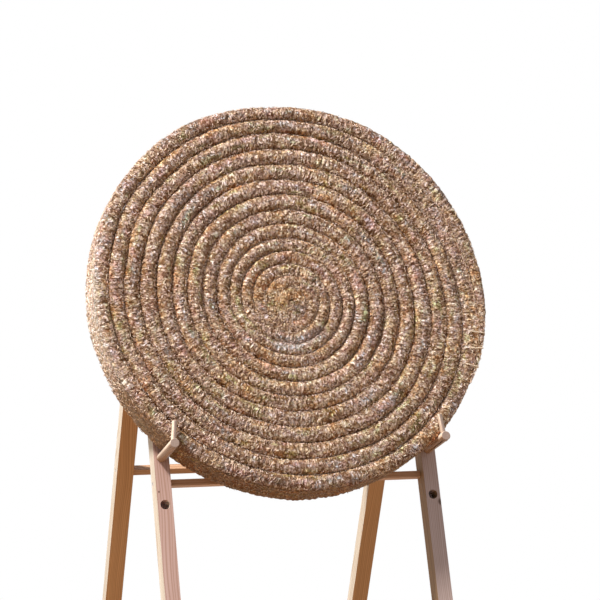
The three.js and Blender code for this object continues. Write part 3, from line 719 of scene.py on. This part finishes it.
# Timber: streaks along the grain, growth rings, rubbed edges, left sides with painted light, or with the
# boss's painted shadow on the right front leg, a knot and a nail's mark. Each kind has a pale and a dark
# colour, and each grain its scale across and along, detail, roughness and weight. The front, rear and right
# front leg's kinds are lit and shaded copies of one pine: painted light on the front legs, painted warm shade
# on the rear legs and the boss's painted shadow on the right front leg.
timber = dict(
    front=((0.62, 0.43, 0.385), (0.50, 0.325, 0.275)), bossShaded=((0.60, 0.485, 0.465), (0.48, 0.37, 0.34)),
    rear=((0.64, 0.385, 0.195), (0.47, 0.262, 0.125)), rail=((0.63, 0.39, 0.235), (0.43, 0.245, 0.145)),
    side=(0.70, 0.63, 0.53), shadedSide=(0.30, 0.186, 0.092), sideDark=0.8, sideFrom=0.6,
    seedShift=(0.37, 0.21, 1.3), wobbleAcross=9, wobbleAlong=3, wobble=0.03,
    grains=[(700, 12, 3.0, 0.6, 0.35), (160, 2.2, 2.0, 0.5, 0.45), (45, 1.6, 2.0, 0.5, 0.35)],
    pith=(0.045, 0.03, 0.0), pithAlong=0.012, ringPitch=0.0036, ringWobble=0.012, late=(0.80, 0.72, 0.66),
    rubbed=(1.18, 1.18, 1.16), knot=(0.09, 0.045, 0.025), knotAcross=0.6, knotAlong=0.7, knotScale=100.0,
    roughness=0.62, specular=0.3, bumpHeight=0.0005, bumpStrength=0.5, bevel=0.0012,
)


# The grain runs along local z, or along x in the rails
def woodMaterial(name, base, dark, side, place, lean, seed, across, knots=()):
    material, tree, shader = newMaterial(name)
    coordinates = addNode(tree, "ShaderNodeTexCoord").outputs
    local = leanedPlace(tree, coordinates, place, lean)
    grainWay = local
    if across:
        quarter = {"Vector": local, "Rotation": (0, math.radians(90), 0)}
        grainWay = addNode(tree, "ShaderNodeMapping", quarter).outputs[0]
    shifted = vectorMath(tree, "ADD", grainWay, tuple(seed * part for part in timber["seedShift"]))
    wobbleWay = scaled(tree, shifted, timber["wobbleAcross"], timber["wobbleAcross"], timber["wobbleAlong"])
    wobble = math2(tree, "MULTIPLY", noise(tree, wobbleWay, 1.0, 1.0), timber["wobble"])
    bent = vectorMath(tree, "ADD", shifted, addNode(tree, "ShaderNodeCombineXYZ", {0: wobble}).outputs[0])
    grain = 0.0
    for wide, long, detail, rough, weight in timber["grains"]:
        streak = noise(tree, scaled(tree, bent, wide, wide, long), 1.0, detail, rough)
        grain = math2(tree, "ADD", grain, math2(tree, "MULTIPLY", streak, weight))
    share = ramp(tree, grain, [(0.38, (0, 0, 0)), (0.72, (0.85, 0.85, 0.85))])
    colour = mixColour(tree, share, base, dark)
    # the left sides: pale with painted light, but dark with the boss's painted shadow on the right front leg
    leftward = math2(tree, "MULTIPLY", vectorParts(tree, coordinates["Normal"])[0], -1.0)
    paintedSides = math2(tree, "GREATER_THAN", leftward, timber["sideFrom"])
    sideColour = mixColour(tree, share, side, tuple(timber["sideDark"] * value for value in side))
    colour = mixColour(tree, paintedSides, colour, sideColour)
    # growth rings: dark lines at even distances from a pith beside the batten, bent by the broadest streaks
    pith = vectorMath(tree, "SUBTRACT", bent, timber["pith"])
    depth = vectorMath(tree, "LENGTH", scaled(tree, pith, 1, 1, timber["pithAlong"]), output="Value")
    depth = math2(tree, "ADD", depth, math2(tree, "MULTIPLY", streak, timber["ringWobble"]))
    rings = math2(tree, "SINE", math2(tree, "MULTIPLY", depth, 2 * math.pi / timber["ringPitch"]))
    rings = math2(tree, "MULTIPLY", math2(tree, "ADD", rings, 1.0), 0.5)
    colour = tinted(tree, colour, ramp(tree, rings, [(0.45, (1, 1, 1)), (1.0, timber["late"])]))
    # rubbed edges: paler where the surface faces between two sides
    sides = vectorParts(tree, vectorMath(tree, "ABSOLUTE", leanedNormal(tree, coordinates, -lean)))
    flat = math2(tree, "MAXIMUM", math2(tree, "MAXIMUM", sides[0], sides[1]), sides[2])
    colour = tinted(tree, colour, ramp(tree, flat, [(0.88, timber["rubbed"]), (0.97, (1, 1, 1))]))
    for *knot, size in knots:
        away = vectorMath(tree, "SUBTRACT", local, tuple(knot))
        away = scaled(tree, away, 1, timber["knotAcross"], timber["knotAlong"])
        reach = vectorMath(tree, "LENGTH", away, output="Value")
        spot = ramp(tree, math2(tree, "MULTIPLY", reach, timber["knotScale"] / size),
                    [(0.0, (1, 1, 1)), (0.2, (0.85, 0.85, 0.85)), (0.4, (0, 0, 0))])
        colour = mixColour(tree, spot, colour, timber["knot"])
    finish(tree, shader, colour, grain, timber)
    return material


# A CAD node keeps its shape: modifiers merge its loose triangles, join what is flat and round its sharp edges
dress = dict(weld=0.00001, flatDegrees=1, sharpDegrees=40, segments=2)


def dressCad(name, material, bevel):
    node = frame["nodes"][name]
    node.data.materials.clear()
    node.data.materials.append(material)
    weld = node.modifiers.new("weld", "WELD")
    weld.merge_threshold = dress["weld"]
    flat = node.modifiers.new("flat", "DECIMATE")
    flat.decimate_type = "DISSOLVE"
    flat.angle_limit = math.radians(dress["flatDegrees"])
    edge = node.modifiers.new("edge", "BEVEL")
    edge.width = bevel
    edge.segments = dress["segments"]
    edge.limit_method = "ANGLE"
    edge.angle_limit = math.radians(dress["sharpDegrees"])
    edge.use_clamp_overlap = True


# Knots in the front frame's u, -w, v axes, and their sizes: on the left leg it is only a nail's mark
knotPlaces = dict(front_leg_left=[(-0.0103, 0, -0.3727, 0.5)], front_leg_right=[(0.0135, 0, -0.4136, 1.5)])
for number, name in enumerate(sorted(frame["nodes"])):
    if name.endswith("_rail") or "_leg_" in name:
        front = name.startswith("front")
        rail = name.endswith("_rail")
        bossShaded = name == "front_leg_right"
        low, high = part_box(name)
        place = np.array([(low.x + high.x) / 2, *(bossMiddle if front else hingePoint)[1:]])
        # the kind: painted light on the front legs, painted shade on the rear legs, the boss's painted shadow
        # on the right front leg
        kind = "rail" if rail else "bossShaded" if bossShaded else "front" if front else "rear"
        side = timber["shadedSide" if bossShaded else "side"]
        lean = -frontLean if front else rearLean
        knots = knotPlaces.get(name, ())
        wood = woodMaterial(f"pine {name}", *timber[kind], side, place, lean, number, rail, knots)
        dressCad(name, wood, timber["bevel"])
print("timber dressed")


# Turned dowels: pale wood, darker underneath, a painted shade, and on the sawn ends
dowels = dict(
    tones=[(0.3, (0.62, 0.46, 0.35)), (0.55, (0.80, 0.65, 0.52)), (0.8, (0.88, 0.76, 0.64))],
    under=(0.42, 0.30, 0.21), end=(0.54, 0.50, 0.53), fibreAcross=700, fibreAlong=30,
    roughness=0.55, bumpHeight=0.0004, bumpStrength=0.5, bevel=0.0008,
)


def dowelMaterial():
    material, tree, shader = newMaterial("dowel")
    coordinates = addNode(tree, "ShaderNodeTexCoord").outputs
    local = leanedPlace(tree, coordinates, (0, 0, 0), -frontLean)
    fibreWay = scaled(tree, local, dowels["fibreAcross"], dowels["fibreAlong"], dowels["fibreAcross"])
    fibre = noise(tree, fibreWay, 1.0, 3.0, 0.6)
    facing = vectorParts(tree, leanedNormal(tree, coordinates, frontLean))
    down = math2(tree, "SUBTRACT", 0.5, math2(tree, "MULTIPLY", facing[2], 0.5))
    outward = math2(tree, "MULTIPLY", facing[1], -1.0)
    colour = ramp(tree, fibre, dowels["tones"])
    # painted shade: darker underneath
    colour = tinted(tree, colour, ramp(tree, down, [(0.46, (1, 1, 1)), (0.66, dowels["under"])]))
    colour = tinted(tree, colour, ramp(tree, outward, [(0.8, (1, 1, 1)), (0.95, dowels["end"])]))
    finish(tree, shader, colour, fibre, dowels)
    return material


# Zinc plated steel: cloudy grey, and smoother where it is paler
zinc = dict(
    tones=[(0.3, (0.42, 0.43, 0.45)), (0.7, (0.62, 0.63, 0.64))], cloudScale=160.0, metallic=0.9,
    roughness=[(0.3, (0.5, 0.5, 0.5)), (0.7, (0.32, 0.32, 0.32))], bevel=0.0002,
)


def steelMaterial():
    material, tree, shader = newMaterial("zinc plated steel")
    cloud = noise(tree, objectPlace(tree), zinc["cloudScale"], 3.0)
    tree.links.new(ramp(tree, cloud, zinc["tones"]), shader.inputs["Base Color"])
    tree.links.new(ramp(tree, cloud, zinc["roughness"]), shader.inputs["Roughness"])
    shader.inputs["Metallic"].default_value = zinc["metallic"]
    return material


dowel = dowelMaterial()
steel = steelMaterial()
for name in frame["nodes"]:
    if name.endswith(("_peg", "_stop")):
        dressCad(name, dowel, dowels["bevel"])
    elif "hinge" in name or "_screw_" in name:
        dressCad(name, steel, zinc["bevel"])
print("pegs, hinges and screws dressed")


# Twine stitches that hold the tail: from the second turn's crown over the tail, round the rim and back. A
# stretch has its turns ahead of the tail, its bends on the crown, or none round the rim, and its face.
stitches = dict(
    angles=(-23.8, -17.3, -13.4), leans=(0.006, 0.015, 0.002), radius=0.0008, stand=0.0010, rimSink=0.0018,
    pitch=0.0062, twist=0.8, step=0.0007, sides=7, dive=0.006, smoothing=15, rimHalf=0.14,
    stretches=[(1, (2.1, 1.6, 1.1, 0.6), 1), (0, (2.6, 2.0, 1.4, 0.7), 1), (0, None, 0),
               (0, (0.7, 1.4, 2.0, 2.6), -1), (1, (0.6, 1.1, 1.6, 2.1), -1)],
    tones=[(0.3, (0.72, 0.57, 0.42)), (0.7, (0.95, 0.85, 0.70))], fibreScale=900.0, roughness=0.8,
    bumpHeight=0.0003,
)


def twineMaterial():
    material, tree, shader = newMaterial("twine")
    fibre = noise(tree, objectPlace(tree), stitches["fibreScale"], 3.0)
    finish(tree, shader, ramp(tree, fibre, stitches["tones"]), fibre, stitches)
    return material


# The path hugs the straw and is smoothed by a moving mean. Each of the two yarns is a tube that circles the
# path once in a pitch.
def stitchYarn(degrees, lean, phase):
    turn = (degrees - coil["fullWidthAngle"]) / 360
    sections = []
    for ahead, bends, face in stitches["stretches"]:
        if bends is None:
            point, normal = flankPoint(np.full(5, turn), np.linspace(0.05, 0.95, 5), 1)
            point = point - normal * stitches["rimSink"]
        else:
            point, normal = crownPoint(np.full(len(bends), turn + ahead), np.array(bends), face)
        sections.append(np.concatenate([point, normal], 1))
    rough = np.concatenate(sections)
    rough[0, :3] -= stitches["dive"] * wAxis  # both ends dive into the straw
    rough[-1, :3] += stitches["dive"] * wAxis
    length = np.concatenate([[0], np.cumsum(np.linalg.norm(np.diff(rough[:, :3], axis=0), axis=1))])
    dense = np.arange(0, length[-1], stitches["step"])
    path = np.stack([np.interp(dense, length, rough[:, column]) for column in range(6)], 1)
    window = np.hanning(stitches["smoothing"])
    spare = stitches["smoothing"] // 2
    padded = np.concatenate([np.repeat(path[:1], spare, 0), path, np.repeat(path[-1:], spare, 0)])
    path = np.stack([np.convolve(column, window / window.sum(), "valid") for column in padded.T], 1)
    offRim = (np.abs(dense / dense[-1] - 0.5) - stitches["rimHalf"]) / (0.5 - stitches["rimHalf"])
    centre = path[:, :3] - (lean * np.clip(offRim, 0, 1))[:, None] * vAxis
    forward = unit(np.gradient(centre, axis=0))
    side = unit(np.cross(forward, unit(path[:, 3:])))
    normal = np.cross(side, forward)
    spin = (dense / stitches["pitch"] * 2 * np.pi + phase)[:, None]
    radius = stitches["radius"]
    circling = radius * stitches["twist"] * (np.cos(spin) * side + np.sin(spin) * normal)
    centre = centre + normal * (radius + stitches["stand"]) + circling
    around = np.linspace(0, 2 * np.pi, stitches["sides"], endpoint=False)[None, :, None]
    return centre[:, None] + radius * (np.cos(around) * side[:, None] + np.sin(around) * normal[:, None])


twine = twineMaterial()
for number, (degrees, lean) in enumerate(zip(stitches["angles"], stitches["leans"]), 1):
    yarns = [stitchYarn(degrees, lean, phase) for phase in (0, np.pi)]
    rows, sides = yarns[0].shape[:2]
    faces = tubeFaces(rows, sides)
    faces = faces + [group + rows * sides for group in faces]
    stitchPiece = makePiece(f"tail_stitch_{number}_twine", np.concatenate(yarns).reshape(-1, 3), faces, twine)
    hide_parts(f"tail_stitch_{number}")
    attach(stitchPiece, "boss")
print("stitches made")


# Floor, fading to white away from the object and warm in what it throws back, and a white surround
stage = dict(floorRadius=9.0, floorSides=96, whiteFrom=1.5, whiteTo=3.4, floorTone=0.78, roughness=0.9,
             bounce=(0.40, 0.25, 0.13), worldColour=(0.95, 0.98, 1.05), worldLevel=0.43)


def buildFloor():
    material, tree, shader = newMaterial("floor")
    shader.inputs["Base Color"].default_value = (*[stage["floorTone"]] * 3, 1)
    shader.inputs["Roughness"].default_value = stage["roughness"]
    bounce = addNode(tree, "ShaderNodeBsdfDiffuse", {"Color": (*stage["bounce"], 1)}).outputs[0]
    away = vectorMath(tree, "LENGTH", objectPlace(tree), output="Value")
    limits = {"Value": away, "From Min": stage["whiteFrom"], "From Max": stage["whiteTo"]}
    fade = addNode(tree, "ShaderNodeMapRange", limits, interpolation_type="SMOOTHSTEP").outputs["Result"]
    seen = seenRays(tree)
    white = addNode(tree, "ShaderNodeEmission", {"Color": (1, 1, 1, 1), "Strength": 1.0}).outputs[0]
    ground = addNode(tree, "ShaderNodeMixShader", {0: seen, 1: bounce, 2: shader.outputs[0]}).outputs[0]
    mixed = {0: math2(tree, "MULTIPLY", fade, seen), 1: ground, 2: white}
    mixed = addNode(tree, "ShaderNodeMixShader", mixed).outputs[0]
    tree.links.new(mixed, tree.nodes["Material Output"].inputs["Surface"])
    angles = np.linspace(0, 2 * np.pi, stage["floorSides"], endpoint=False)
    ring = np.stack([np.cos(angles), np.sin(angles), 0 * angles], -1) * stage["floorRadius"]
    makePiece("floor", ring, [np.arange(len(ring))[None]], material)


def buildWorld():
    world = bpy.data.worlds.new("studio")
    bpy.context.scene.world = world
    world.use_nodes = True
    tree = world.node_tree
    sky = {"Color": (*stage["worldColour"], 1), "Strength": stage["worldLevel"]}
    soft = addNode(tree, "ShaderNodeBackground", sky).outputs[0]
    white = addNode(tree, "ShaderNodeBackground", {"Color": (1, 1, 1, 1), "Strength": 1.0}).outputs[0]
    mixed = addNode(tree, "ShaderNodeMixShader", {0: seenRays(tree), 1: soft, 2: white}).outputs[0]
    tree.links.new(mixed, tree.nodes["World Output"].inputs["Surface"])


# Each lamp stands away from the boss's middle in a direction, and faces it
lamps = dict(
    key=dict(toward=(-0.572, -0.089, 0.815), away=6.0, size=0.9, power=700, colour=(1.0, 0.97, 0.92)),
    fill=dict(toward=(0.1, 0.95, 0.25), away=4.5, size=3.0, power=45, colour=(0.97, 0.98, 1.0)),
)


def addLamp(name, toward, away, size, power, colour):
    data = bpy.data.lights.new(name, "AREA")
    data.shape = "DISK"
    data.size = size
    data.energy = power
    data.color = colour
    lamp = bpy.data.objects.new(name, data)
    direction = np.array(toward) / np.linalg.norm(toward)
    lamp.location = tuple(bossMiddle + direction * away)
    lamp.rotation_euler = Vector(direction).to_track_quat("Z", "Y").to_euler()
    lamp.visible_camera = False
    bpy.context.scene.collection.objects.link(lamp)


buildFloor()
buildWorld()
for name, values in lamps.items():
    addLamp(name, **values)
bpy.context.scene.view_settings.view_transform = "Standard"
print("stage and lamps made")
